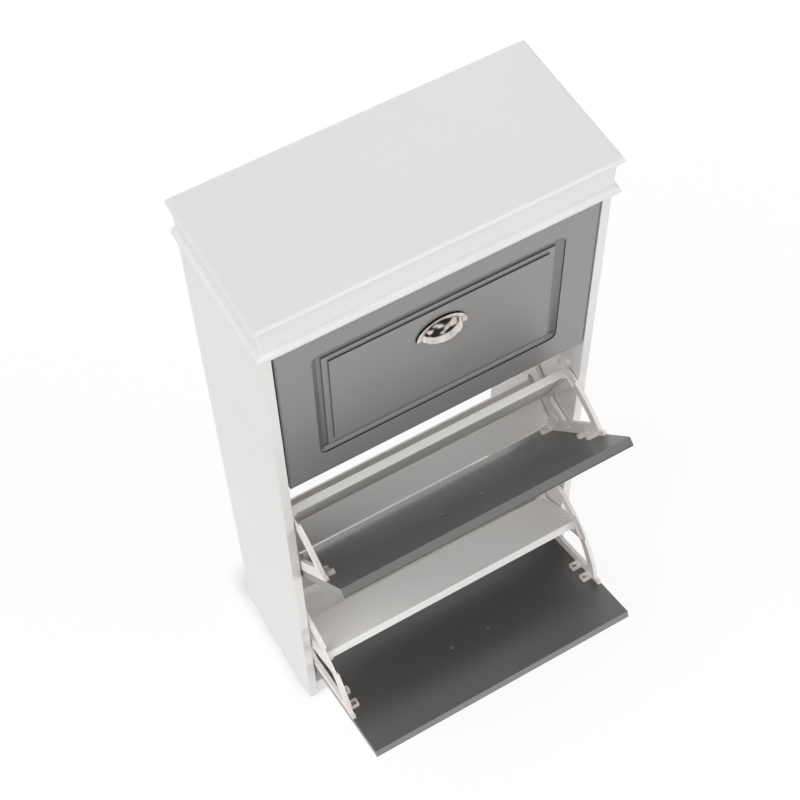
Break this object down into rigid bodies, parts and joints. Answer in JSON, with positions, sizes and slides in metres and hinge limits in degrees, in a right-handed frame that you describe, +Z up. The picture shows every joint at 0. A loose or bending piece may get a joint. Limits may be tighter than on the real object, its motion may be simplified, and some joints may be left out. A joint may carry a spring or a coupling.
{
  "type": "shoe cabinet",
  "caption": "Tall tip-out shoe cabinet: white board carcass under a moulded crown, with grey raised-panel flaps on pivoting racks, cup handles and white flip brackets.",
  "frame": {"origin": "on the floor below the middle of the part's bounding box, as stored with the middle flap part open and the lower flap fully open", "axes": "+Z up, +Y to the wall behind the cabinet, +X to the right of someone facing the flaps"},
  "size_m": [0.576, 0.4808, 1.224],
  "materials": {
    "white_board": "white foil over particle board",
    "grey_board": "satin grey foil over routed fibre board",
    "white_plastic": "warm white moulded plastic",
    "nickel": "polished nickel over cast metal",
    "zinc_steel": "bright zinc-plated steel",
    "beech": "fluted beech"
  },
  "bodies": {
    "carcass": {"left_side_panel": "white_board", "right_side_panel": "white_board", "plinth": "white_board", "bottom_stretcher": "white_board", "lower_rear_rail": "white_board", "upper_rear_rail": "white_board", "top_panel": "white_board", "dowels": "beech", "cams": "zinc_steel", "cam_bolts": "zinc_steel", "floor_glides": "white_plastic", "pivot_bushes": "white_plastic", "left_guide_strips": "white_plastic", "right_guide_strips": "white_plastic", "guide_screws": "zinc_steel", "lower_crown_board": "white_board", "upper_crown_board": "white_board", "crown_screws": "zinc_steel", "front_frieze": "white_board", "left_frieze": "white_board", "right_frieze": "white_board", "rear_frieze": "white_board"},
    "lower_rack": {"lower_flap": "grey_board", "lower_handle": "nickel", "lower_handle_screws": "zinc_steel", "lower_left_bracket": "white_plastic", "lower_right_bracket": "white_plastic", "lower_bracket_screws": "zinc_steel", "lower_pivot_pins": "zinc_steel", "lower_shelf_board": "white_board", "lower_floor_board": "white_board"},
    "middle_rack": {"middle_flap": "grey_board", "middle_handle": "nickel", "middle_handle_screws": "zinc_steel", "middle_left_bracket": "white_plastic", "middle_right_bracket": "white_plastic", "middle_bracket_screws": "zinc_steel", "middle_pivot_pins": "zinc_steel", "middle_shelf_board": "white_board", "middle_floor_board": "white_board"},
    "upper_rack": {"upper_flap": "grey_board", "upper_handle": "nickel", "upper_handle_screws": "zinc_steel", "upper_left_bracket": "white_plastic", "upper_right_bracket": "white_plastic", "upper_bracket_screws": "zinc_steel", "upper_pivot_pins": "zinc_steel", "upper_shelf_board": "white_board", "upper_floor_board": "white_board"}
  },
  "joints": [
    {"name": "lower_flap_tilt", "type": "hinge", "parent": "carcass", "child": "lower_rack", "pos_m": [0, 0.02764, 0.141], "axis": [1, 0, 0], "range_deg": [-71, 0]},
    {"name": "middle_flap_tilt", "type": "hinge", "parent": "carcass", "child": "middle_rack", "pos_m": [0, 0.02764, 0.505], "axis": [1, 0, 0], "range_deg": [-38, 33]},
    {"name": "upper_flap_tilt", "type": "hinge", "parent": "carcass", "child": "upper_rack", "pos_m": [0, 0.02764, 0.869], "axis": [1, 0, 0], "range_deg": [0, 71]}
  ]
}
